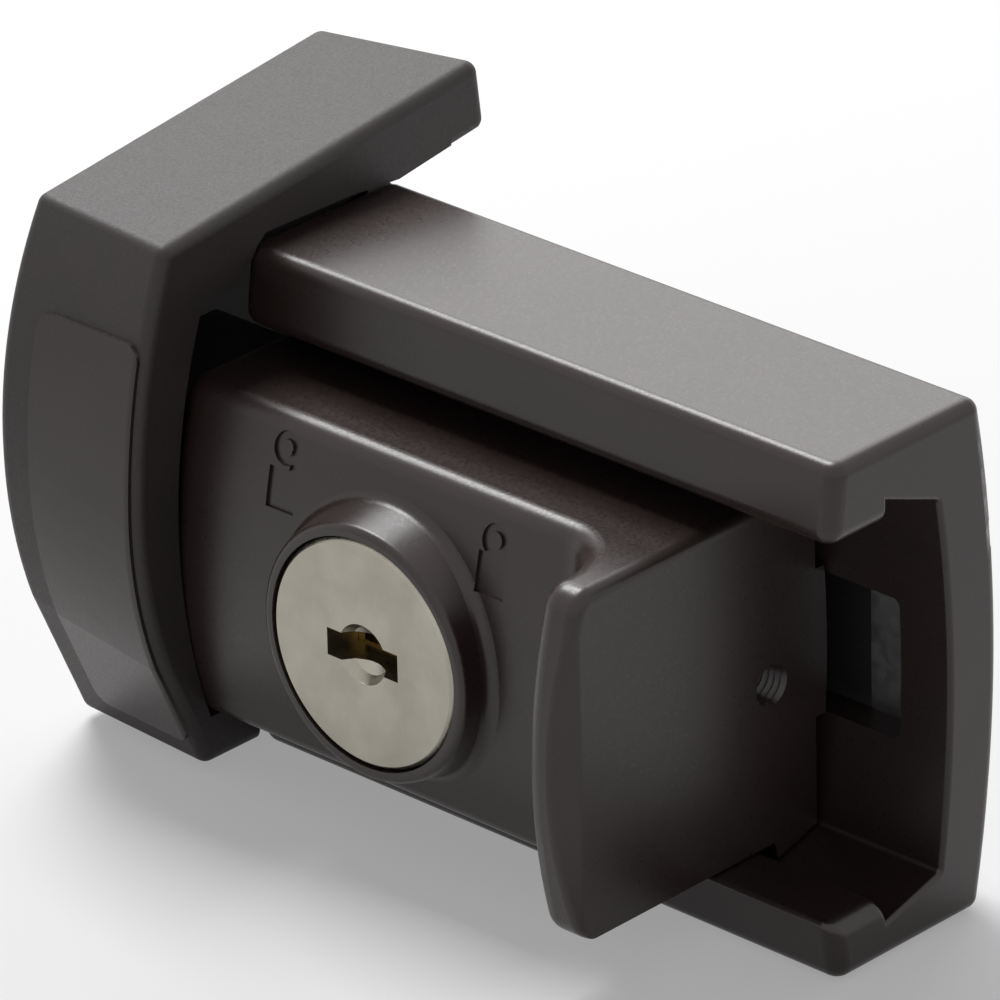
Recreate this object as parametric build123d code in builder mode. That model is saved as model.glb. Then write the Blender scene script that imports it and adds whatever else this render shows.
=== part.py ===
# Sliding window lock with a key cylinder and a hooked strike.
#
# The C-shaped body is screwed to the window sash. A bolt slides along X inside it, moved by its
# finger lip, and its nose goes into the strike on the neighbouring frame. A quarter turn of the key
# swings a cam into a notch of the body's floor, which blocks the bolt.
#
# Frame: millimetres, +Z up, +X towards the finger lip's end, +Y into the sash. The origin is the
# middle of the body's mounting plane. The bolt is shown thrown to the left, into the strike.

import os

from build123d import *

os.makedirs("parts", exist_ok=True)

# Body: a C-shaped casting, open to the front and at both ends
body_x = (-36.0, 34.7)
body_height = 50.0
half_height = body_height / 2
lip_edge_y = -21.3  # front of the lips at the top and bottom edges
lip_crest_y = -23.3  # where their bowed front would stand at mid height
back_edge_y = -2.5  # rear of the casting at the top and bottom edges
upper_lip_z = 17.4
lower_lip_z = -19.2
wall_crest_y = -6.5  # rear wall of the channel at mid height
upper_lip_round = 1.4
lower_lip_round = 0.5
lip_end_round = 1.6
outer_round = 1.3
channel_round = 0.5

# Plate and gasket in the recess behind the casting
recess_y = -3.5
recess_length = 62.6
recess_height = 38.0
plate_clearance = 0.2
plate_thickness = 2.5
gasket_thickness = 1.0
plate_screw_places = [(-28.0, 6.0), (-28.0, -6.0), (28.0, 15.5), (28.0, -15.5)]

# Fixing holes of the body
hole_spacing_x = 40.0
hole_spacing_z = 26.0
hole_centre_x = -4.7
hole_centre_z = -1.3
hole_radius = 2.3

# Slot for the travel stop
window_x = (-0.2, 28.9)
window_z = (-8.7, 5.1)
slot_x = (1.2, 22.8)

# Bolt
travel = 14.2
slider_x = (-36.6, 20.5)
nose_tip_x = -48.9
slider_top = 14.7
slider_bottom = -18.95
slider_edge_y = -29.0
slider_crest_y = -31.8
parting_y = -11.6
slide_gap = 0.3

# Lock cylinder
axis_x = -9.4
axis_z = -2.25
disc_radius = 10.95
disc_face_y = -34.8
disc_back_y = -32.6
boss_radius = 12.2
boss_rim_round = 0.7
boss_root_round = 1.2
housing_radius = 10.0
plug_radius = 6.5
housing_front_y = -32.5
housing_back_y = -12.0
tail_side = 5.0
cam_y = (-11.5, -9.2)
cam_reach = 19.6
cam_half_width = 2.5
wafer_count = 5
wafer_pitch = 2.8
first_wafer_y = -30.4
wafer_thickness = 0.9

# Strike
strike_x = (-52.2, -34.7)
strike_wall = 2.5
strike_round = 1.2
foot_y = 4.2
strike_plate_thickness = 2.5
strike_gasket_thickness = 1.0
strike_hole_x = -43.6
strike_hole_z = (13.0, -13.0)
strike_hole_radius = 2.3
driver_hole_radius = 4.2


def bow(z):
    """Y of the lips' front at a height; it is bowed by a parabola over the body's height."""
    return lip_crest_y + (lip_edge_y - lip_crest_y) * (z / half_height) ** 2


def nearest(shapes, *points):
    """Of some vertices or edges, the ones whose middles are nearest to the points."""
    return [shapes.sort_by(lambda shape: (shape.center() - Vector(*point)).length)[0] for point in points]


def lies_at(edge, axis, *values):
    """Whether both ends of an edge stand at one of the values along the axis "X", "Y" or "Z"."""
    start, end = (getattr(edge.position_at(part), axis) for part in (0, 1))
    return any(abs(start - value) < 0.01 and abs(end - value) < 0.01 for value in values)


# Body casting

ceiling_front = (-14.8, 19.6)
ceiling_back = (-8.1, 17.1)
floor_front = (-14.9, -21.4)
floor_back = (-7.9, -19.4)
upper_lip_corner = (bow(upper_lip_z), upper_lip_z)
lower_lip_corner = (bow(lower_lip_z), lower_lip_z)

with BuildPart() as lock_body:
    with BuildSketch(Plane.YZ.offset(body_x[0])) as profile:
        with BuildLine():
            Line((lip_edge_y, half_height), (back_edge_y, half_height))
            ThreePointArc((back_edge_y, half_height), (0, 0), (back_edge_y, -half_height))
            Line((back_edge_y, -half_height), (lip_edge_y, -half_height))
            ThreePointArc((lip_edge_y, -half_height), (bow(-22), -22), lower_lip_corner)
            Polyline(lower_lip_corner, (-15.8, lower_lip_z), floor_front, floor_back)
            ThreePointArc(floor_back, (wall_crest_y, -0.9), ceiling_back)
            Polyline(ceiling_back, ceiling_front, (-14.8, 18.3), (-15.6, upper_lip_z), upper_lip_corner)
            ThreePointArc(upper_lip_corner, (bow(21), 21), (lip_edge_y, half_height))
        make_face()
        fillet(nearest(profile.vertices(), floor_back, ceiling_back), channel_round)
        fillet(nearest(profile.vertices(), upper_lip_corner), upper_lip_round)
        fillet(nearest(profile.vertices(), lower_lip_corner), lower_lip_round)
    extrude(amount=body_x[1] - body_x[0])

    # roundings: the ends of the lips, then the rest of the outside, then the ends of the channel
    end_edges = lock_body.edges().filter_by(lambda edge: lies_at(edge, "X", *body_x))
    fillet(end_edges.filter_by(lambda edge: edge.center().Y < -21.5), lip_end_round)
    rim_edges = lock_body.edges().filter_by(
        lambda edge: lies_at(edge, "Z", half_height, -half_height) or edge.center().Y > back_edge_y - 0.1
    )
    fillet(rim_edges, outer_round)
    end_edges = lock_body.edges().filter_by(lambda edge: lies_at(edge, "X", *body_x))
    fillet(
        end_edges.filter_by(lambda edge: -16 < edge.center().Y < -5 and abs(edge.center().Z) < 21.5),
        channel_round,
    )

    # recess for the plate and the gasket
    with BuildSketch(Plane.XZ.offset(-recess_y)):
        Rectangle(recess_length, recess_height)
        fillet(vertices(), 2.0)
    extrude(amount=recess_y - 0.5, mode=Mode.SUBTRACT)

    # window in the rear wall, for the travel stop
    with BuildSketch(Plane.XZ.offset(-recess_y)):
        with Locations(((window_x[0] + window_x[1]) / 2, (window_z[0] + window_z[1]) / 2)):
            Rectangle(window_x[1] - window_x[0], window_z[1] - window_z[0])
        fillet(vertices(), 0.8)
    extrude(amount=6.0, mode=Mode.SUBTRACT)

    # countersunk fixing holes, cut from the channel's side
    head_plane = Plane(origin=(hole_centre_x, -8.2, hole_centre_z), x_dir=(1, 0, 0), z_dir=(0, -1, 0))
    with Locations(head_plane):
        with GridLocations(hole_spacing_x, hole_spacing_z, 2, 2):
            CounterSinkHole(hole_radius, 5.15, depth=6.0, counter_sink_angle=90)

    # holes for the plate's screws
    with BuildSketch(Plane.XZ.offset(-recess_y)):
        with Locations(*plate_screw_places):
            Circle(1.5)
    extrude(amount=2.2, mode=Mode.SUBTRACT)

    # notches in the floor that the cam's end swings into, one for each end of the travel
    for notch_x in (axis_x, axis_x + travel):
        with BuildSketch(Plane.XZ.offset(-(cam_y[1] + 0.25))):
            with Locations((notch_x, axis_z)):
                Circle(cam_reach + 0.35)
            with Locations((notch_x + 3.15, axis_z - 20)):
                Rectangle(11.6, 20, mode=Mode.INTERSECT)
        extrude(amount=cam_y[1] - cam_y[0] + 0.5, mode=Mode.SUBTRACT)
lock_body.part.label = "lock_body"
export_step(lock_body.part, "parts/lock_body.step")

# Plate, gasket and the plate's screws

rear_plate_length = recess_length - 2 * plate_clearance
rear_plate_height = recess_height - 2 * plate_clearance
plate_back_y = recess_y + plate_thickness
plate_rear = Plane(origin=(0, plate_back_y, 0), x_dir=(1, 0, 0), z_dir=(0, 1, 0))

with BuildPart() as base_plate:
    with BuildSketch(Plane.XZ.offset(-recess_y)):
        Rectangle(rear_plate_length, rear_plate_height)
        fillet(vertices(), 2.0)
        with Locations((hole_centre_x, hole_centre_z)):
            with GridLocations(hole_spacing_x, hole_spacing_z, 2, 2):
                Circle(hole_radius, mode=Mode.SUBTRACT)
        with Locations(((slot_x[0] + slot_x[1]) / 2, (window_z[0] + window_z[1]) / 2)):
            Rectangle(slot_x[1] - slot_x[0], window_z[1] - window_z[0], mode=Mode.SUBTRACT)
    extrude(amount=-plate_thickness)
    with Locations(plate_rear):
        with Locations(*plate_screw_places):
            CounterSinkHole(1.5, 2.9, depth=4.0, counter_sink_angle=90)
base_plate.part.label = "base_plate"
export_step(base_plate.part, "parts/base_plate.step")

with BuildPart() as mounting_gasket:
    with BuildSketch(Plane.XZ.offset(-plate_back_y)):
        Rectangle(rear_plate_length, rear_plate_height)
        fillet(vertices(), 2.0)
        with Locations((hole_centre_x, hole_centre_z)):
            with GridLocations(hole_spacing_x, hole_spacing_z, 2, 2):
                Circle(hole_radius, mode=Mode.SUBTRACT)
    extrude(amount=-gasket_thickness)
mounting_gasket.part.label = "mounting_gasket"
export_step(mounting_gasket.part, "parts/mounting_gasket.step")

# a small countersunk screw, drawn along -Z with its head's top at the origin
with BuildPart() as plate_screw:
    with BuildSketch(Plane.XZ):
        with BuildLine():
            Polyline(
                (0, 0), (2.8, 0), (2.8, -0.05), (1.45, -1.4), (1.45, -4.2), (1.2, -4.5), (0, -4.5), (0, 0)
            )
        make_face()
    revolve(axis=Axis.Z)
    with BuildSketch(Plane.XY):
        RegularPolygon(1.1, 6)
    extrude(amount=-1.0, mode=Mode.SUBTRACT)

with BuildPart() as base_plate_screws:
    with Locations(plate_rear):
        with Locations(*plate_screw_places):
            add(plate_screw.part)
base_plate_screws.part.label = "base_plate_screws"
export_step(base_plate_screws.part, "parts/base_plate_screws.step")

# Slider

rear_crest_y = wall_crest_y - slide_gap
back_plate_left_x = -34.4
flange_top_front = (-14.2, 19.05)
flange_top_back = (-8.5, 16.92)
flange_bottom_front = (-13.4, -20.65)
flange_bottom_back = (-8.3, -19.19)
parting_top = (parting_y, 18.08)
parting_bottom = (parting_y, -20.14)
nose_top = 12.0
nose_bottom = -16.6
nose_back_y = -12.2
lip_left_x = 15.9
sweep_radius = 8.0  # the finger lip sweeps out of the block in this radius
sweep_y = -36.2
tapped_hole = (20.5, -14.1, -3.2)
thread_pitch = 0.7
thread_minor = 1.65
thread_major = 2.0
thread_turns = 12
stop_x = (3.6, 8.5)
stop_z = (0.9, 4.5)
stop_flange = 1.2
stop_tip_y = -1.7
stop_pocket_y = -18.6
stop_spring_y = -22.6
back_screw_x = (-30.0, 15.5)
back_screw_z = (12.0, -14.5)
head_groove_y = -8.3
head_groove_width = 11.4
back_screw_head_y = -8.5
mark_depth = 0.3
closed_mark = (2.65, 8.0)
open_mark = (-22.9, 8.1)

# finger lip: its plan shape, cut to its bowed side shape
with BuildPart() as finger_lip:
    with BuildSketch(Plane.XY.offset(slider_bottom)):
        with BuildLine():
            CenterArc((lip_left_x - sweep_radius, sweep_y), sweep_radius, 0, 90)
            Polyline(
                (lip_left_x, sweep_y),
                (lip_left_x, -44.0),
                (17.5, -44.0),
                (slider_x[1], -38.7),
                (slider_x[1], -25.0),
                (lip_left_x - sweep_radius, -25.0),
                (lip_left_x - sweep_radius, sweep_y + sweep_radius),
            )
        make_face()
    extrude(amount=slider_top - slider_bottom)
    with BuildSketch(Plane.YZ.offset(5.0)) as lip_side:
        with BuildLine():
            ThreePointArc((-38.5, slider_top), (-41.2, -1.7), (-38.9, slider_bottom))
            Polyline(
                (-38.9, slider_bottom), (-20.0, slider_bottom), (-20.0, slider_top), (-38.5, slider_top)
            )
        make_face()
        fillet(lip_side.vertices().sort_by(Axis.X)[:2], 2.5)
    extrude(amount=20.0, mode=Mode.INTERSECT)

# the two padlock marks beside the cylinder, closed on the right and open on the left
with BuildPart() as padlock_marks:
    with BuildSketch(Plane.XZ.offset(28.0)):
        for (mark_x, mark_z), shackle_lift in ((closed_mark, 0), (open_mark, 0.7)):
            with Locations((mark_x, mark_z)):
                Rectangle(3.4, 3.8)
            with Locations((mark_x, mark_z + 3.1 + shackle_lift)):
                Circle(1.55)
                Circle(0.75, mode=Mode.SUBTRACT)
        with Locations((open_mark[0] + 1.1, open_mark[1] + 2.6)):
            Rectangle(0.9, 2.4)
    extrude(amount=5.0)
    with BuildSketch(Plane.YZ.offset(slider_x[0])):
        with BuildLine():
            ThreePointArc(
                (slider_edge_y + mark_depth, slider_top),
                (slider_crest_y + mark_depth, -2.0),
                (slider_edge_y + mark_depth, slider_bottom),
            )
            Polyline(
                (slider_edge_y + mark_depth, slider_bottom),
                (-20.0, slider_bottom),
                (-20.0, slider_top),
                (slider_edge_y + mark_depth, slider_top),
            )
        make_face()
    extrude(amount=slider_x[1] - slider_x[0], mode=Mode.SUBTRACT)

with BuildPart() as bolt_slider:
    # block
    with BuildSketch(Plane.YZ.offset(slider_x[0])):
        with BuildLine():
            ThreePointArc(
                (slider_edge_y, slider_top), (slider_crest_y, -2.0), (slider_edge_y, slider_bottom)
            )
            Polyline(
                (slider_edge_y, slider_bottom),
                (-13.9, slider_bottom),
                flange_bottom_front,
                parting_bottom,
                parting_top,
                flange_top_front,
                (-14.2, slider_top),
                (slider_edge_y, slider_top),
            )
        make_face()
    extrude(amount=slider_x[1] - slider_x[0])
    add(finger_lip.part)

    # roundings, from the hollow beside the finger lip outwards
    hollow_edges = bolt_slider.edges().filter_by(GeomType.BSPLINE).filter_by(
        lambda edge: 12 < edge.center().X < lip_left_x + 0.1
    )
    fillet(hollow_edges, 5.0)
    fillet(nearest(bolt_slider.edges(), (-13.5, slider_edge_y, slider_top)), 2.0)
    fillet(nearest(bolt_slider.edges(), (slider_x[0], slider_crest_y, -2.1)), 2.0)
    fillet(nearest(bolt_slider.edges(), (slider_x[1], -25.4, slider_top)), 1.2)
    fillet(nearest(bolt_slider.edges(), (slider_x[1], -38.7, -2.3)), 0.8)

    # nose, set in all round from the block
    with BuildSketch(Plane.YZ.offset(nose_tip_x)):
        with BuildLine():
            ThreePointArc((-28.8, nose_top), (-31.0, -2.0), (-29.0, nose_bottom))
            Polyline(
                (-29.0, nose_bottom), (nose_back_y, nose_bottom), (nose_back_y, nose_top), (-28.8, nose_top)
            )
        make_face()
        fillet(vertices(), 1.5)
    extrude(amount=slider_x[0] - nose_tip_x + 1.0)
    nose_end_edges = bolt_slider.faces().sort_by(Axis.X)[0].edges()
    chamfer(nose_end_edges, 0.8)

    # cylinder boss: a truncated cone on the bowed front, rounded at its rim and root
    with BuildSketch(Plane.XZ.offset(-disc_face_y)):
        with Locations((axis_x, axis_z)):
            Circle(boss_radius)
    extrude(amount=-8.0, taper=-11.0)
    rim_edge = bolt_slider.edges().filter_by(lambda edge: edge.is_closed).sort_by(Axis.Y)[0]
    fillet(rim_edge, boss_rim_round)
    root_edge = bolt_slider.edges().filter_by(lambda edge: edge.is_closed).sort_by(Axis.Y)[-1]
    fillet(root_edge, boss_root_round)
    add(padlock_marks.part, mode=Mode.SUBTRACT)

    # stepped bore for the lock cylinder
    with BuildSketch(Plane.XZ.offset(-parting_y)):
        with Locations((axis_x, axis_z)):
            Circle(housing_radius)
    extrude(amount=parting_y - disc_face_y + 1.0, mode=Mode.SUBTRACT)
    with BuildSketch(Plane.XZ.offset(-housing_front_y)):
        with Locations((axis_x, axis_z)):
            Circle(disc_radius + 0.2)
    extrude(amount=5.0, mode=Mode.SUBTRACT)

    # tapped hole in the end face, its thread drawn as rings
    with BuildSketch(Plane(origin=tapped_hole, x_dir=(-1, 0, 0), z_dir=(0, 0, 1))):
        with BuildLine():
            thread_points = [(0, 0), (0, thread_major)]
            for turn in range(thread_turns):
                thread_points.append((0.4 + turn * thread_pitch, thread_minor))
                thread_points.append((0.4 + (turn + 0.5) * thread_pitch, thread_major))
            thread_points.append((0.4 + thread_turns * thread_pitch, thread_minor))
            thread_points.append((20.5 - axis_x - housing_radius + 0.5, thread_minor))
            thread_points.append((20.5 - axis_x - housing_radius + 0.5, 0))
            Polyline(*thread_points, close=True)
        make_face()
    revolve(axis=Axis(tapped_hole, (-1, 0, 0)), mode=Mode.SUBTRACT)

    # pocket and spring hole of the travel stop
    stop_centre = ((stop_x[0] + stop_x[1]) / 2, (stop_z[0] + stop_z[1]) / 2)
    with BuildSketch(Plane.XZ.offset(-parting_y)):
        with Locations(stop_centre):
            Rectangle(stop_x[1] - stop_x[0] + 2 * stop_flange + 0.4, stop_z[1] - stop_z[0] + 0.2)
    extrude(amount=parting_y - stop_pocket_y, mode=Mode.SUBTRACT)
    with BuildSketch(Plane.XZ.offset(-stop_pocket_y)):
        with Locations(stop_centre):
            Circle(1.7)
    extrude(amount=stop_pocket_y - stop_spring_y, mode=Mode.SUBTRACT)

    # holes for the rear plate's screws
    with BuildSketch(Plane.XZ.offset(-parting_y)):
        with Locations(*[(x, z) for x in back_screw_x for z in back_screw_z]):
            Circle(1.25)
    extrude(amount=6.4, mode=Mode.SUBTRACT)
bolt_slider.part.label = "bolt_slider"
export_step(bolt_slider.part, "parts/bolt_slider.step")

# Rear plate of the slider

with BuildPart() as slider_back_plate:
    with BuildSketch(Plane.YZ.offset(back_plate_left_x)):
        with BuildLine():
            Polyline(flange_bottom_back, parting_bottom, parting_top, flange_top_back)
            ThreePointArc(flange_top_back, (rear_crest_y, -0.9), flange_bottom_back)
        make_face()
    extrude(amount=slider_x[1] - back_plate_left_x)

    # grooves that run over the heads of the body's fixing screws
    with BuildSketch(Plane.XZ.offset(-head_groove_y)):
        with Locations((0, hole_centre_z)):
            with GridLocations(0, hole_spacing_z, 1, 2):
                Rectangle(90.0, head_groove_width)
    extrude(amount=-3.0, mode=Mode.SUBTRACT)

    # room for the cam and its quarter turn, open at the bottom
    with BuildSketch(Plane.XZ.offset(-parting_y)):
        with Locations((axis_x, axis_z)):
            Circle(cam_reach + 0.3)
        with Locations((axis_x + 12 - cam_half_width - 0.3, axis_z - 12 + cam_half_width + 0.3)):
            Rectangle(24.0, 24.0, mode=Mode.INTERSECT)
        with Locations((axis_x, axis_z)):
            Circle(4.8)
    extrude(amount=parting_y - cam_y[1] - 0.1, mode=Mode.SUBTRACT)
    with BuildSketch(Plane.XZ.offset(-parting_y)):
        with Locations((axis_x, axis_z)):
            Circle(3.6)
        with Locations(stop_centre):
            Rectangle(stop_x[1] - stop_x[0] + 0.2, stop_z[1] - stop_z[0] + 0.2)
    extrude(amount=-8.0, mode=Mode.SUBTRACT)

    with Locations(Plane(origin=(0, head_groove_y, 0), x_dir=(1, 0, 0), z_dir=(0, 1, 0))):
        with Locations(*[(x, -z) for x in back_screw_x for z in back_screw_z]):
            CounterSinkHole(1.3, 2.6, depth=6.0, counter_sink_angle=90)
slider_back_plate.part.label = "slider_back_plate"
export_step(slider_back_plate.part, "parts/slider_back_plate.step")

with BuildPart() as back_screw:
    with BuildSketch(Plane.XZ):
        with BuildLine():
            Polyline(
                (0, 0), (2.3, 0), (2.3, -0.1), (1.2, -1.2), (1.2, -8.6), (0.9, -8.9), (0, -8.9), (0, 0)
            )
        make_face()
    revolve(axis=Axis.Z)
    with BuildSketch(Plane.XY):
        RegularPolygon(0.9, 6)
    extrude(amount=-0.9, mode=Mode.SUBTRACT)

with BuildPart() as back_plate_screws:
    with Locations(Plane(origin=(0, back_screw_head_y, 0), x_dir=(1, 0, 0), z_dir=(0, 1, 0))):
        with Locations(*[(x, -z) for x in back_screw_x for z in back_screw_z]):
            add(back_screw.part)
back_plate_screws.part.label = "back_plate_screws"
export_step(back_plate_screws.part, "parts/back_plate_screws.step")

# Travel stop: a sprung lug, ramped on the left, that stands in the window and the plate's slot

with BuildPart() as travel_stop:
    with BuildSketch(Plane.XY.offset(stop_z[0])):
        with BuildLine():
            Polyline(
                (stop_x[0] - stop_flange, parting_y - 0.1),
                (stop_x[0], parting_y - 0.1),
                (stop_x[0], -6.0),
                (stop_x[1] - 1.0, stop_tip_y),
                (stop_x[1], stop_tip_y),
                (stop_x[1], parting_y - 0.1),
                (stop_x[1] + stop_flange, parting_y - 0.1),
                (stop_x[1] + stop_flange, parting_y - 1.6),
                (stop_x[0] - stop_flange, parting_y - 1.6),
                close=True,
            )
        make_face()
    extrude(amount=stop_z[1] - stop_z[0])
travel_stop.part.label = "travel_stop"
export_step(travel_stop.part, "parts/travel_stop.step")


def coil(radius, wire, length, turns):
    """A compression spring along +Z, one unbroken coil from the origin."""
    with BuildPart() as spring:
        with BuildLine():
            coil_height = length - 2 * wire
            Helix(pitch=coil_height / turns, height=coil_height, radius=radius, center=(0, 0, wire))
        with BuildSketch(Plane(origin=(radius, 0, wire), x_dir=(1, 0, 0), z_dir=(0, 1, 0))):
            Circle(wire)
        sweep(is_frenet=True)
    return spring.part


stop_spring = coil(radius=1.25, wire=0.2, length=parting_y - 1.7 - stop_spring_y - 0.1, turns=7)
spring_start = (stop_centre[0], stop_spring_y + 0.05, stop_centre[1])
with BuildPart() as travel_stop_spring:
    with Locations(Plane(origin=spring_start, x_dir=(1, 0, 0), z_dir=(0, 1, 0))):
        add(stop_spring)
travel_stop_spring.part.label = "travel_stop_spring"
export_step(travel_stop_spring.part, "parts/travel_stop_spring.step")

# Lock cylinder

tail_back_y = -9.3
pin_y = -15.0
pin_radius = 1.0
keyway_width = 8.6
keyway_height = 2.7
wafer_half = (5.4, 2.6)

with BuildPart() as cylinder_housing:
    with BuildSketch(Plane.XZ.offset(-housing_back_y)):
        with Locations((axis_x, axis_z)):
            Circle(housing_radius)
            Circle(plug_radius + 0.05, mode=Mode.SUBTRACT)
    extrude(amount=housing_back_y - housing_front_y)
    with BuildSketch(Plane.XY.offset(axis_z + plug_radius - 1.0)):
        with Locations((axis_x, pin_y)):
            Circle(pin_radius)
    extrude(amount=6.0, mode=Mode.SUBTRACT)
cylinder_housing.part.label = "cylinder_housing"
export_step(cylinder_housing.part, "parts/cylinder_housing.step")

with BuildPart() as turn_stop_pin:
    with BuildSketch(Plane.XY.offset(axis_z + 5.3)):
        with Locations((axis_x, pin_y)):
            Circle(pin_radius)
    extrude(amount=4.5)
turn_stop_pin.part.label = "turn_stop_pin"
export_step(turn_stop_pin.part, "parts/turn_stop_pin.step")

with BuildPart() as cylinder_plug:
    # face disc, shaft and square tail
    with BuildSketch(Plane.XZ.offset(-disc_back_y)):
        with Locations((axis_x, axis_z)):
            Circle(disc_radius)
    extrude(amount=disc_back_y - disc_face_y)
    chamfer(cylinder_plug.faces().sort_by(Axis.Y)[0].edges(), 0.35)
    with BuildSketch(Plane.XZ.offset(-(housing_back_y - 0.3))):
        with Locations((axis_x, axis_z)):
            Circle(plug_radius)
    extrude(amount=housing_back_y - 0.3 - disc_back_y)
    with BuildSketch(Plane.XZ.offset(-tail_back_y)):
        with Locations((axis_x, axis_z)):
            Rectangle(tail_side, tail_side)
    extrude(amount=tail_back_y - housing_back_y + 0.3)

    # keyway with a round dished lead-in
    with BuildSketch(Plane.XZ.offset(-disc_face_y)):
        with Locations((axis_x, axis_z)):
            Rectangle(keyway_width, keyway_height)
    extrude(amount=-17.0, mode=Mode.SUBTRACT)
    with BuildSketch(Plane(origin=(axis_x, disc_face_y, axis_z), x_dir=(1, 0, 0), z_dir=(0, 0, 1))):
        with BuildLine():
            Polyline((0, 0), (2.9, 0), (2.3, 1.0), (1.4, 1.6), (0, 1.7), close=True)
        make_face()
    revolve(axis=Axis((axis_x, disc_face_y, axis_z), (0, 1, 0)), mode=Mode.SUBTRACT)

    # slots for the wafers and their springs
    for index in range(wafer_count):
        slot_y = first_wafer_y + index * wafer_pitch
        with BuildSketch(Plane.XZ.offset(-(slot_y + wafer_thickness / 2 + 0.05))):
            with Locations((axis_x, axis_z)):
                Rectangle(2 * wafer_half[0] + 0.3, 2 * wafer_half[1] + 0.2)
            with Locations((axis_x + 0.6, axis_z + 3.6)):
                Rectangle(7.4, 2.0)
        extrude(amount=wafer_thickness + 0.1, mode=Mode.SUBTRACT)

    # groove for the stop pin, a quarter turn long, and the cam screw's hole
    with BuildSketch(Plane.XZ.offset(-(pin_y + pin_radius + 0.1))):
        with Locations((axis_x, axis_z)):
            Circle(plug_radius + 0.5)
            Circle(5.1, mode=Mode.SUBTRACT)
        with Locations((axis_x - 10 + 1.2, axis_z + 10 - 1.2)):
            Rectangle(20, 20, mode=Mode.INTERSECT)
    extrude(amount=2 * pin_radius + 0.2, mode=Mode.SUBTRACT)
    with BuildSketch(Plane.XZ.offset(-tail_back_y)):
        with Locations((axis_x, axis_z)):
            Circle(1.25)
    extrude(amount=6.0, mode=Mode.SUBTRACT)
cylinder_plug.part.label = "cylinder_plug"
export_step(cylinder_plug.part, "parts/cylinder_plug.step")

with BuildPart() as wafer_tumblers:
    for index in range(wafer_count):
        wafer_y = first_wafer_y + index * wafer_pitch
        with BuildSketch(Plane.XZ.offset(-(wafer_y + wafer_thickness / 2))):
            with Locations((axis_x, axis_z)):
                Rectangle(2 * wafer_half[0], 2 * wafer_half[1])
            with Locations((axis_x + 3.4, axis_z + 3.5)):
                Rectangle(1.7, 2.0)
            with Locations((axis_x + 0.3 - 0.15 * index, axis_z)):
                Rectangle(7.6, 2.3, mode=Mode.SUBTRACT)
        extrude(amount=wafer_thickness)
wafer_tumblers.part.label = "wafer_tumblers"
export_step(wafer_tumblers.part, "parts/wafer_tumblers.step")

wafer_spring = coil(radius=0.32, wire=0.1, length=5.2, turns=7)
with BuildPart() as wafer_springs:
    for index in range(wafer_count):
        spring_y = first_wafer_y + index * wafer_pitch
        spring_seat = (axis_x - 2.8, spring_y, axis_z + 3.5)
        with Locations(Plane(origin=spring_seat, x_dir=(0, 0, 1), z_dir=(1, 0, 0))):
            add(wafer_spring)
wafer_springs.part.label = "wafer_springs"
export_step(wafer_springs.part, "parts/wafer_springs.step")

with BuildPart() as locking_cam:
    with BuildSketch(Plane.XZ.offset(-cam_y[1])):
        with Locations((axis_x, axis_z)):
            Circle(cam_reach)
        with Locations((axis_x + cam_reach / 2, axis_z)):
            Rectangle(cam_reach, 2 * cam_half_width, mode=Mode.INTERSECT)
        with Locations((axis_x, axis_z)):
            Circle(4.5)
            Rectangle(tail_side, tail_side, mode=Mode.SUBTRACT)
    extrude(amount=cam_y[1] - cam_y[0])
locking_cam.part.label = "locking_cam"
export_step(locking_cam.part, "parts/locking_cam.step")

with BuildPart() as cam_screw:
    with BuildSketch(Plane(origin=(axis_x, cam_y[1], axis_z), x_dir=(1, 0, 0), z_dir=(0, 0, 1))):
        with BuildLine():
            Polyline(
                (0, 1.6),
                (2.6, 1.6),
                (3.0, 1.2),
                (3.0, 0),
                (1.25, 0),
                (1.25, -5.2),
                (0, -5.2),
                close=True,
            )
        make_face()
    revolve(axis=Axis((axis_x, cam_y[1], axis_z), (0, 1, 0)))
    with BuildSketch(Plane.XZ.offset(-(cam_y[1] + 1.6))):
        with Locations((axis_x, axis_z)):
            RegularPolygon(1.3, 6)
    extrude(amount=1.1, mode=Mode.SUBTRACT)
cam_screw.part.label = "cam_screw"
export_step(cam_screw.part, "parts/cam_screw.step")

with BuildPart() as cylinder_grub_screw:
    grub_start = (axis_x + housing_radius + 0.6, tapped_hole[1], tapped_hole[2])
    with BuildSketch(Plane(origin=grub_start, x_dir=(0, 1, 0), z_dir=(1, 0, 0))):
        Circle(thread_minor)
    extrude(amount=7.0)
    with BuildSketch(cylinder_grub_screw.faces().sort_by(Axis.X)[-1]):
        RegularPolygon(1.0, 6)
    extrude(amount=-2.0, mode=Mode.SUBTRACT)
cylinder_grub_screw.part.label = "cylinder_grub_screw"
export_step(cylinder_grub_screw.part, "parts/cylinder_grub_screw.step")

# Strike

slab_bottom_z = 25.8
pocket_x = strike_x[0] + strike_wall
pocket_crest_y = -32.2
pocket_top = (-28.3, 21.4)
pocket_bottom = (-29.0, -19.3)
bottom_wall_back_y = -22.8
foot_flange = 3.0
foot_right_x = -39.8
relief_x = -36.7
cap_x = (-47.9, -35.4)
cap_z = (-21.5, 19.9)
cap_proud = 0.4
cap_sunk = 0.8
cap_plug_back_y = -31.8
driver_hole_places = [(strike_hole_x, z) for z in strike_hole_z]
foot_screw_z = (5.5, -19.5)

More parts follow.
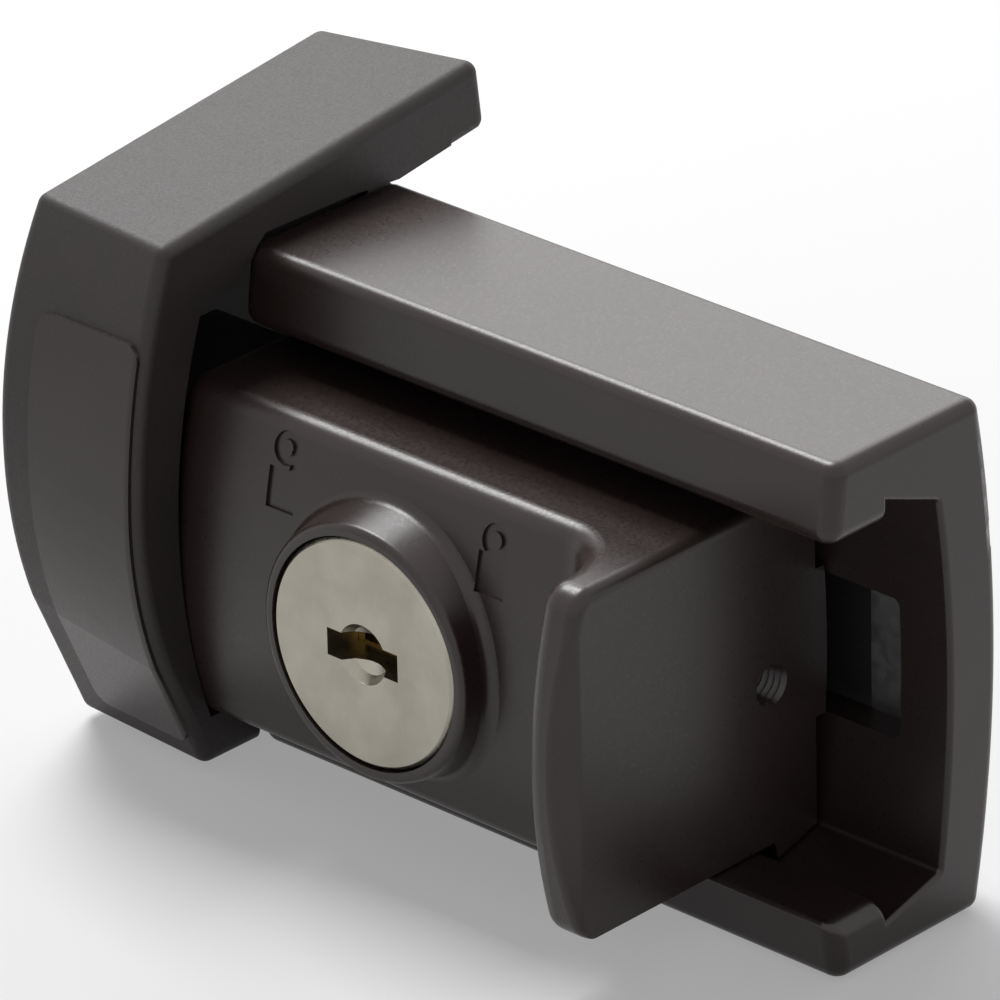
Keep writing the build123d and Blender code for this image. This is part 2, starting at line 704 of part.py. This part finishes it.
# the strike's outside: a loft between the outlines of its two ends, rounded at its edges
with BuildPart() as strike_blank:
    with BuildSketch(Plane.YZ.offset(strike_x[1])):
        with BuildLine():
            ThreePointArc((-32.6, 28.5), (-36.24, 15.4), (-37.45, 2.5))
            ThreePointArc((-37.45, 2.5), (-36.79, -5.1), (-34.8, -12.6))
            Polyline(
                (-34.8, -12.6),
                (-29.6, -24.2),
                (foot_y, -24.2),
                (foot_y, slab_bottom_z),
                (9.3, 26.5),
                (8.5, 33.5),
                (-32.6, 28.5),
            )
        make_face()
    with BuildSketch(Plane.YZ.offset(strike_x[0])):
        with BuildLine():
            ThreePointArc((-31.4, 28.7), (-36.1, 17.6), (-37.55, 5.6))
            ThreePointArc((-37.55, 5.6), (-36.99, -1.5), (-34.78, -10.2))
            Polyline(
                (-34.78, -10.2),
                (-28.5, -24.2),
                (foot_y, -24.2),
                (foot_y, slab_bottom_z),
                (6.4, 26.1),
                (5.0, 33.0),
                (-31.4, 28.7),
            )
        make_face()
    loft(ruled=True)
    across_edges = strike_blank.edges().filter_by(
        lambda edge: not lies_at(edge, "X", *strike_x)
        and (edge.center().Y < -20 and abs(edge.center().Z) > 20 or edge.center().Y > foot_y + 0.1)
    )
    fillet(across_edges, strike_round)
    right_edges = strike_blank.edges().filter_by(
        lambda edge: lies_at(edge, "X", strike_x[1])
        and not (lies_at(edge, "Y", foot_y) and edge.center().Z < slab_bottom_z)
    )
    fillet(right_edges, strike_round)
    fillet(strike_blank.edges().filter_by(lambda edge: lies_at(edge, "X", strike_x[0])), strike_round)

# plugs of the cover cap, which fill the driver holes
with BuildPart() as cap_plugs:
    with BuildSketch(Plane.XZ.offset(-cap_plug_back_y)):
        with Locations(*driver_hole_places):
            Circle(driver_hole_radius - 0.1)
    extrude(amount=10.0)
    add(Location((0, -cap_proud, 0)) * strike_blank.part, mode=Mode.INTERSECT)

# cover cap: a thin skin over the lower part of the front
with BuildPart() as strike_cover_cap:
    with BuildSketch(Plane.XZ.offset(25.0)):
        with Locations(((cap_x[0] + cap_x[1]) / 2, (cap_z[0] + cap_z[1]) / 2)):
            Rectangle(cap_x[1] - cap_x[0], cap_z[1] - cap_z[0])
        fillet(vertices(), 1.6)
    extrude(amount=20.0)
    add(Location((0, -cap_proud, 0)) * strike_blank.part, mode=Mode.INTERSECT)
    add(Location((0, cap_sunk, 0)) * strike_blank.part, mode=Mode.SUBTRACT)
    add(cap_plugs.part)
strike_cover_cap.part.label = "strike_cover_cap"
export_step(strike_cover_cap.part, "parts/strike_cover_cap.step")

with BuildPart() as strike_housing:
    add(strike_blank.part)

    # pocket for the bolt's nose, open to the right, and to the rear below the slab
    with BuildSketch(Plane.YZ.offset(pocket_x)):
        with BuildLine():
            ThreePointArc(pocket_top, (pocket_crest_y, 0), pocket_bottom)
            Polyline(
                pocket_bottom,
                (bottom_wall_back_y, pocket_bottom[1]),
                (bottom_wall_back_y, -26.0),
                (foot_y - foot_flange, -26.0),
                (foot_y - foot_flange, 25.4),
                pocket_top,
            )
        make_face()
    extrude(amount=20.0, mode=Mode.SUBTRACT)

    # the mouth reaches over the body's left end
    with BuildSketch(Plane.YZ.offset(relief_x)):
        with BuildLine():
            Polyline(
                (-23.4, 20.0),
                (-23.4, 21.8),
                (-20.9, 25.2),
                (-19.9, 26.0),
                (-9.0, 25.8),
                (-2.7, 25.3),
                (-2.7, 20.0),
                close=True,
            )
        make_face()
    extrude(amount=5.0, mode=Mode.SUBTRACT)

    # the foot stops short of the body, and its upper corner stays below the slab
    with BuildSketch(Plane.YZ.offset(foot_right_x)):
        with BuildLine():
            Polyline((-2.7, -26.0), (12.0, -26.0), (12.0, 27.4), (-2.7, 25.3), close=True)
        make_face()
    extrude(amount=20.0, mode=Mode.SUBTRACT)
    with BuildSketch(Plane.YZ.offset(foot_right_x - 2.8)):
        with BuildLine():
            Polyline((0, 20.0), (12.0, 20.0), (12.0, 27.4), (0, 25.69), close=True)
        make_face()
    extrude(amount=20.0, mode=Mode.SUBTRACT)

    # screw holes in the foot, and driver holes in the front for them
    with BuildSketch(Plane.XZ.offset(-10)):
        with Locations(*driver_hole_places):
            Circle(strike_hole_radius)
    extrude(amount=20.0, mode=Mode.SUBTRACT)
    with BuildSketch(Plane.XZ.offset(28.0)):
        with Locations(*driver_hole_places):
            Circle(driver_hole_radius)
    extrude(amount=12.0, mode=Mode.SUBTRACT)
    with BuildSketch(Plane.XZ.offset(-10)):
        with Locations(*[(strike_hole_x, z) for z in foot_screw_z]):
            Circle(1.5)
    extrude(amount=9.0, mode=Mode.SUBTRACT)
    add(strike_cover_cap.part, mode=Mode.SUBTRACT)
strike_housing.part.label = "strike_housing"
export_step(strike_housing.part, "parts/strike_housing.step")

strike_plate_x = (-51.5, foot_right_x - 0.2)
strike_plate_z = (-23.5, 18.0)
plate_rear_y = foot_y + strike_plate_thickness
foot_plane = Plane(origin=(strike_hole_x, plate_rear_y, 0), x_dir=(1, 0, 0), z_dir=(0, 1, 0))
with BuildPart() as strike_base_plate:
    with BuildSketch(Plane.XZ.offset(-foot_y)):
        with Locations(
            ((strike_plate_x[0] + strike_plate_x[1]) / 2, (strike_plate_z[0] + strike_plate_z[1]) / 2)
        ):
            Rectangle(strike_plate_x[1] - strike_plate_x[0], strike_plate_z[1] - strike_plate_z[0])
        fillet(vertices(), 1.0)
        with Locations(*driver_hole_places):
            Circle(strike_hole_radius, mode=Mode.SUBTRACT)
    extrude(amount=-strike_plate_thickness)
    with Locations(foot_plane):
        with Locations(*[(0, -z) for z in foot_screw_z]):
            CounterSinkHole(1.5, 2.9, depth=4.0, counter_sink_angle=90)
strike_base_plate.part.label = "strike_base_plate"
export_step(strike_base_plate.part, "parts/strike_base_plate.step")

with BuildPart() as strike_gasket:
    with BuildSketch(Plane.XZ.offset(-plate_rear_y)):
        with Locations(
            ((strike_plate_x[0] + strike_plate_x[1]) / 2, (strike_plate_z[0] + strike_plate_z[1]) / 2)
        ):
            Rectangle(strike_plate_x[1] - strike_plate_x[0], strike_plate_z[1] - strike_plate_z[0])
        fillet(vertices(), 1.0)
        with Locations(*driver_hole_places):
            Circle(strike_hole_radius, mode=Mode.SUBTRACT)
    extrude(amount=-strike_gasket_thickness)
strike_gasket.part.label = "strike_gasket"
export_step(strike_gasket.part, "parts/strike_gasket.step")

with BuildPart() as strike_plate_screws:
    with Locations(foot_plane):
        with Locations(*[(0, -z) for z in foot_screw_z]):
            add(plate_screw.part)
strike_plate_screws.part.label = "strike_plate_screws"
export_step(strike_plate_screws.part, "parts/strike_plate_screws.step")
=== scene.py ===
# %% [markdown]
# A sliding window lock, dressed and lit in Blender.
#
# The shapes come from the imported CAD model, which is loaded as a fixed frame: a C-shaped body on the
# window sash, a bolt with a finger lip and a key cylinder, and a hooked strike on the frame beside it.
# Blender adds what the eye reads as metal, paint and rubber, and the light that shows it.

import math

import bpy
import numpy as np
from mathutils import Matrix, Vector


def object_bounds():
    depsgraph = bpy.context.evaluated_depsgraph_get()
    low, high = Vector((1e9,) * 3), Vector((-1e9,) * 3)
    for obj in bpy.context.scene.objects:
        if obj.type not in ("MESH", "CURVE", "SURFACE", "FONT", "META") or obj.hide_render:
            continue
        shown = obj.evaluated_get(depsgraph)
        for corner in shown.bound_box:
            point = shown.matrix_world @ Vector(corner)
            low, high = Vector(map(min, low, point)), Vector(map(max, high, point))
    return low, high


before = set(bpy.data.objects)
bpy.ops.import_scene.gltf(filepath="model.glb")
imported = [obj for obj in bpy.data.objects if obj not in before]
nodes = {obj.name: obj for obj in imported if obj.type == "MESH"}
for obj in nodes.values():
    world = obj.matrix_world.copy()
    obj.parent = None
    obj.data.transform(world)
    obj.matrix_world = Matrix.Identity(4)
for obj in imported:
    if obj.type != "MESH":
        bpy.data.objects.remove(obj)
cad_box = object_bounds()
MM = 0.001
print("frame:", len(nodes), "nodes, box", [round(v, 4) for corner in cad_box for v in corner])

# %% [markdown]
# Colours are written as a painter would read them from a chart, as sRGB hex values. Shaders work with
# linear light, so one function turns the first into the second.


# %% Colour helper
def paint(hex_value):
    """Linear RGBA of an sRGB hex colour: c / 12.92 in the darks, ((c + 0.055) / 1.055) ^ 2.4 above."""
    channels = [int(hex_value[i : i + 2], 16) / 255 for i in (1, 3, 5)]
    linear = [c / 12.92 if c <= 0.04045 else ((c + 0.055) / 1.055) ** 2.4 for c in channels]
    return (*linear, 1.0)


print("mid grey is", round(paint("#808080")[0], 3), "in linear light")

# %% [markdown]
# A material is a small tree of nodes. One helper adds a node with its settings and its links, so that
# each finish below reads as a list of what it is made of.


# %% Node helper
def add(tree, kind, settings=None, links=None):
    """Adds a node of that kind, sets its sockets or properties, and links outputs to its inputs."""
    made = tree.nodes.new("ShaderNode" + kind)
    for name, value in (settings or {}).items():
        if name in made.inputs:
            made.inputs[name].default_value = value
        else:
            setattr(made, name, value)
    for name, source in (links or {}).items():
        tree.links.new(source, made.inputs[name])
    return made


def new_material(name):
    """An empty material with an output: returns the material, its tree and the output node."""
    made = bpy.data.materials.new(name)
    made.use_nodes = True
    made.node_tree.nodes.clear()
    output = made.node_tree.nodes.new("ShaderNodeOutputMaterial")
    return made, made.node_tree, output


# %% [markdown]
# Real finishes vary in lumps of some size: clouds in the pigment, waves in the skin, grit, grinding
# lines. Each is noise on Object coordinates, so it stays on its piece when the lock moves. Noise
# rarely leaves the middle of its range, so that middle is what gets mapped to the values wanted.

# %% Pattern helpers
NOISE_LOW = 0.3
NOISE_HIGH = 0.7


def speckle(tree, size_mm, detail, stretch=(1, 1, 1)):
    """Noise whose lumps are size_mm across: its scale is 1 / size in metres."""
    place = add(tree, "TexCoord")
    turned = add(tree, "Mapping", {"Scale": stretch}, {"Vector": place.outputs["Object"]})
    settings = {"Scale": 1 / (size_mm * MM), "Detail": detail}
    return add(tree, "TexNoise", settings, {"Vector": turned.outputs["Vector"]}).outputs["Fac"]


def spread(tree, source, low, high):
    """Maps the noise's usual range to low..high, clamped."""
    settings = {"From Min": NOISE_LOW, "From Max": NOISE_HIGH, "To Min": low, "To Max": high}
    return add(tree, "MapRange", settings, {"Value": source}).outputs["Result"]


def two_tones(tree, base, patch, cloud_mm, detail):
    """The base colour with soft clouds of a second one."""
    clouds = speckle(tree, cloud_mm, detail)
    colours = {"Color1": paint(base), "Color2": paint(patch)}
    return add(tree, "MixRGB", colours, {"Fac": spread(tree, clouds, 0.0, 1.0)}).outputs["Color"]


def relief(tree, height, depth_mm, under=None):
    """A bump that makes the pattern depth_mm deep, on top of another bump where one is given."""
    links = {"Height": height}
    if under is not None:
        links["Normal"] = under
    settings = {"Strength": 1.0, "Distance": depth_mm * MM}
    return add(tree, "Bump", settings, links).outputs["Normal"]


# %% [markdown]
# Polyester powder coat, baked on zinc castings, in a dark bronze brown. The powder melts into a skin
# with a faint orange peel: shallow waves about 1 mm across, with a finer grit on them. It is a
# dielectric, so its highlights are white. On the body and the bolt it flowed out well and has a satin
# gloss. On the strike it is grittier, and its higher roughness spreads the highlights. Powder grit is
# finer than the render can show, so it is drawn about a quarter of a millimetre across.


# %% Powder coat
def powder_coat(name, base, patch, roughness, peel_mm, peel_depth, grit_mm, grit_depth):
    """Powder coat: two browns in wide soft clouds, orange peel, and fine grit."""
    made, tree, output = new_material(name)
    smoother, rougher = 0.04, 0.06
    colour = two_tones(tree, base, patch, cloud_mm=9.0, detail=3.0)
    peel = speckle(tree, peel_mm, detail=1.0)
    grit = speckle(tree, grit_mm, detail=2.0)
    peel_bump = relief(tree, peel, peel_depth)
    skin = add(
        tree,
        "BsdfPrincipled",
        {"IOR": 1.5},
        {
            "Base Color": colour,
            "Roughness": spread(tree, grit, roughness - smoother, roughness + rougher),
            "Normal": relief(tree, grit, grit_depth, under=peel_bump),
        },
    )
    tree.links.new(skin.outputs["BSDF"], output.inputs["Surface"])
    return made


bronze_coat = powder_coat(
    "bronze_powder_coat",
    base="#2c221f",
    patch="#332825",
    roughness=0.31,
    peel_mm=0.9,
    peel_depth=0.004,
    grit_mm=0.28,
    grit_depth=0.003,
)
gritty_coat = powder_coat(
    "gritty_bronze_powder_coat",
    base="#272120",
    patch="#2e2725",
    roughness=0.54,
    peel_mm=0.7,
    peel_depth=0.015,
    grit_mm=0.26,
    grit_depth=0.02,
)
print("coats:", bronze_coat.name, "and", gritty_coat.name)

# %% [markdown]
# The cylinder's face is brass plated with satin nickel, a warm grey metal. Its disc was ground before
# plating, so faint straight lines run down it, and the finish breaks the reflection up along them.
# A line is noise stretched along one axis, which a Mapping node does by shrinking that axis.


# %% Satin nickel
def metal(name, colour, stain, roughness, grain_mm, grain_depth, stretch=(1, 1, 1)):
    """A plated or bare metal: colour and roughness vary along a stretched grain."""
    made, tree, output = new_material(name)
    wear = 0.06
    grain = speckle(tree, grain_mm, detail=3.0, stretch=stretch)
    skin = add(
        tree,
        "BsdfPrincipled",
        {"Metallic": 1.0},
        {
            "Base Color": two_tones(tree, colour, stain, cloud_mm=4.0, detail=2.0),
            "Roughness": spread(tree, grain, roughness - wear, roughness + wear),
            "Normal": relief(tree, grain, grain_depth),
        },
    )
    tree.links.new(skin.outputs["BSDF"], output.inputs["Surface"])
    return made


nickel = metal(
    "satin_nickel_plate",
    "#a9a599",
    "#9c988c",
    roughness=0.32,
    grain_mm=0.25,
    grain_depth=0.002,
    stretch=(1, 1, 0.12),
)
print("cylinder face:", nickel.name)

# %% [markdown]
# Inside the lock are three more metals. The plates, the cam and the screws are steel with bright zinc
# plating, a cold and slightly cloudy grey. The springs and the stop pin are bare drawn steel, darker
# and smoother. The cylinder's sleeve and its wafers are brass, yellow, with a fine grain along the
# cylinder's axis.

# %% Steel and brass
zinc_steel = metal(
    "zinc_plated_steel", "#b4b6b8", "#9da0a4", roughness=0.36, grain_mm=0.8, grain_depth=0.003
)
bare_steel = metal(
    "bare_spring_steel", "#8f8f90", "#7c7b7a", roughness=0.30, grain_mm=0.3, grain_depth=0.001
)
brass = metal(
    "turned_brass",
    "#c5a55f",
    "#b08f4c",
    roughness=0.30,
    grain_mm=0.3,
    grain_depth=0.002,
    stretch=(1, 0.2, 1),
)
print("inner metals:", zinc_steel.name, bare_steel.name, brass.name)

# %% [markdown]
# The sheets behind the castings are neoprene, a dense black rubber, moulded against a cloth-like
# plate that leaves it dull. Its rough skin scatters nearly all light.

# %% Rubber
rubber, rubber_tree, rubber_output = new_material("neoprene_sheet")
rubber_dullness = (0.72, 0.85)
rubber_grain_depth = 0.02
rubber_grain = speckle(rubber_tree, 0.6, detail=3.0)
rubber_skin = add(
    rubber_tree,
    "BsdfPrincipled",
    {"Base Color": paint("#1c1c1b"), "IOR": 1.52},
    {
        "Roughness": spread(rubber_tree, rubber_grain, *rubber_dullness),
        "Normal": relief(rubber_tree, rubber_grain, rubber_grain_depth),
    },
)
rubber_tree.links.new(rubber_skin.outputs["BSDF"], rubber_output.inputs["Surface"])
print("sheets:", rubber.name)

# %% [markdown]
# Each CAD node keeps its shape and gets its finish through its own material slots. No new pieces are
# needed, because every form of this lock is already in the CAD model.

# %% Dress the CAD nodes
finish_of = {
    "lock_body": bronze_coat,
    "bolt_slider": bronze_coat,
    "slider_back_plate": bronze_coat,
    "strike_housing": gritty_coat,
    "strike_cover_cap": bronze_coat,
    "cylinder_plug": nickel,
    "cylinder_housing": brass,
    "wafer_tumblers": brass,
    "wafer_springs": bare_steel,
    "travel_stop": zinc_steel,
    "travel_stop_spring": bare_steel,
    "turn_stop_pin": bare_steel,
    "locking_cam": zinc_steel,
    "cam_screw": zinc_steel,
    "cylinder_grub_screw": zinc_steel,
    "base_plate": zinc_steel,
    "base_plate_screws": zinc_steel,
    "back_plate_screws": zinc_steel,
    "strike_base_plate": zinc_steel,
    "strike_plate_screws": zinc_steel,
    "mounting_gasket": rubber,
    "strike_gasket": rubber,
}
for name, finish in finish_of.items():
    mesh = nodes[name].data
    mesh.materials.clear()
    mesh.materials.append(finish)
print("dressed:", len(finish_of), "of", len(nodes))

# %% [markdown]
# Floor and room are white to the camera, and to the mirror rays by which metal and gloss show them,
# without lighting the object more. Light Path tells the kinds of ray apart, so their glow can be
# given to those rays alone.


# %% Rays that see the background
def seen_rays(tree, strength):
    """The strength for camera, mirror and see-through rays, and 0 for the rays that light things."""
    path = add(tree, "LightPath")
    total = path.outputs["Is Camera Ray"]
    for kind in ("Is Glossy Ray", "Is Transmission Ray"):
        summed = add(tree, "Math", {"operation": "ADD", "use_clamp": True})
        tree.links.new(total, summed.inputs[0])
        tree.links.new(path.outputs[kind], summed.inputs[1])
        total = summed.outputs["Value"]
    scaled = add(tree, "Math", {"operation": "MULTIPLY"})
    tree.links.new(total, scaled.inputs[0])
    scaled.inputs[1].default_value = strength
    return scaled.outputs["Value"]


# %% [markdown]
# The floor is a plain sheet of pale paper that reaches far behind the object. A faint glow is added
# to the lit paper, just enough to reach white in the open, so the object's shadow stays on it.

# %% Floor
floor_gap = 0.2 * MM
floor_half = 6.0
floor_glow = 0.3
floor_z = cad_box[0].z - floor_gap
corners = np.array([(-1, -1), (1, -1), (1, 1), (-1, 1)], float) * floor_half
floor_points = np.column_stack([corners, np.full(4, floor_z)])
floor_mesh = bpy.data.meshes.new("pale_floor")
floor_mesh.from_pydata(floor_points.tolist(), [], [(0, 1, 2, 3)])
floor = bpy.data.objects.new("pale_floor", floor_mesh)
bpy.context.scene.collection.objects.link(floor)

floor_paper, floor_tree, floor_output = new_material("pale_floor_paper")
paper = add(floor_tree, "BsdfDiffuse", {"Color": paint("#cfcfcf")})
glow_rays = seen_rays(floor_tree, floor_glow)
glow = add(floor_tree, "Emission", {"Color": paint("#ffffff")}, {"Strength": glow_rays})
lit_paper = add(floor_tree, "AddShader")
floor_tree.links.new(paper.outputs["BSDF"], lit_paper.inputs[0])
floor_tree.links.new(glow.outputs["Emission"], lit_paper.inputs[1])
floor_tree.links.new(lit_paper.outputs["Shader"], floor_output.inputs["Surface"])
floor_mesh.materials.append(floor_paper)
print("floor at", round(floor_z, 4))

# %% [markdown]
# The room gives the object a little pale grey light, and is white to the camera and to mirror rays.

# %% World
room_light = 0.25
white = 1.0
world = bpy.data.worlds.new("studio")
bpy.context.scene.world = world
world.use_nodes = True
world_tree = world.node_tree
world_tree.nodes.clear()
world_output = world_tree.nodes.new("ShaderNodeOutputWorld")
room = add(world_tree, "Background", {"Color": paint("#d8d8da"), "Strength": room_light})
backdrop = add(world_tree, "Background", {"Color": paint("#ffffff"), "Strength": white})
world_mix = add(world_tree, "MixShader", {}, {"Fac": seen_rays(world_tree, 1.0)})
world_tree.links.new(room.outputs["Background"], world_mix.inputs[1])
world_tree.links.new(backdrop.outputs["Background"], world_mix.inputs[2])
world_tree.links.new(world_mix.outputs["Shader"], world_output.inputs["Surface"])
print("world:", world.name)

# %% [markdown]
# Two soft boxes light the lock. The one behind it is what the level top faces mirror, and the one
# overhead gives the rounded edges and the cylinder's boss their highlights. Each is a rectangle of
# light, given by the direction in which it stands, with its width along X. Together with the room
# they stay near a plain level: a mid-grey floor without its glow renders at 1.08 to 1.17 times its
# written value. The overhead box is small and bright, which keeps the highlights clear.


# %% Lights
def soft_box(name, toward, distance, size, radiance):
    """A rectangular lamp aimed at the object. Its power is radiance * area * pi watts."""
    lamp = bpy.data.lights.new(name, "AREA")
    lamp.shape = "RECTANGLE"
    lamp.size, lamp.size_y = size
    lamp.energy = radiance * size[0] * size[1] * math.pi
    holder = bpy.data.objects.new(name, lamp)
    outward = Vector(toward).normalized()
    length_way = outward.cross(Vector((1, 0, 0))).normalized()
    width_way = length_way.cross(outward)
    turned = Matrix((width_way, length_way, outward)).transposed().to_4x4()
    holder.matrix_world = Matrix.Translation(outward * distance) @ turned
    bpy.context.scene.collection.objects.link(holder)
    print(name, "of", round(lamp.energy, 1), "W")


soft_box("rear_box", toward=(-0.55, 0.65, 0.5), distance=1.6, size=(1.5, 0.8), radiance=2.1)
soft_box(
    "overhead_box", toward=(-0.5, 0.16, 0.85), distance=1.2, size=(0.55, 0.52), radiance=14.0
)

# %% [markdown]
# The camera stands where the photographer's did. Its bearing, height and slight tilt were fitted to
# the straight edges of the body, and so was the long lens, ten times the sensor's width, because
# those edges draw together so little. The fit had an origin of its own, near the body's left end, in
# line with the front of its lips.

# %% Camera
azimuth = math.radians(43.79)
elevation = math.radians(26.13)
tilt = math.radians(-1.26)
camera_distance = 905.12 * MM
side_offset = -21.37 * MM
height_offset = 0.17 * MM
fit_origin = Vector((-34.7, -21.3, 0.0)) * MM
focal_in_widths = 10
nearest_seen = 0.01
farthest_seen = 50.0

backward = Vector(
    (
        math.sin(azimuth) * math.cos(elevation),
        -math.cos(azimuth) * math.cos(elevation),
        math.sin(elevation),
    )
)
level_right = Vector((math.cos(azimuth), math.sin(azimuth), 0.0))
level_up = backward.cross(level_right)
right = math.cos(tilt) * level_right + math.sin(tilt) * level_up
up = math.cos(tilt) * level_up - math.sin(tilt) * level_right

lens = bpy.data.cameras.new("photo_camera")
lens.sensor_width = 36.0
lens.lens = focal_in_widths * lens.sensor_width
lens.clip_start = nearest_seen
lens.clip_end = farthest_seen
camera = bpy.data.objects.new("photo_camera", lens)
turn = Matrix((right, up, backward)).transposed().to_4x4()
place = fit_origin + backward * camera_distance - right * side_offset - up * height_offset
camera.matrix_world = Matrix.Translation(place) @ turn
bpy.context.scene.collection.objects.link(camera)
bpy.context.scene.camera = camera
bpy.context.scene.view_settings.view_transform = "Standard"
print("camera at", [round(v, 4) for v in place])
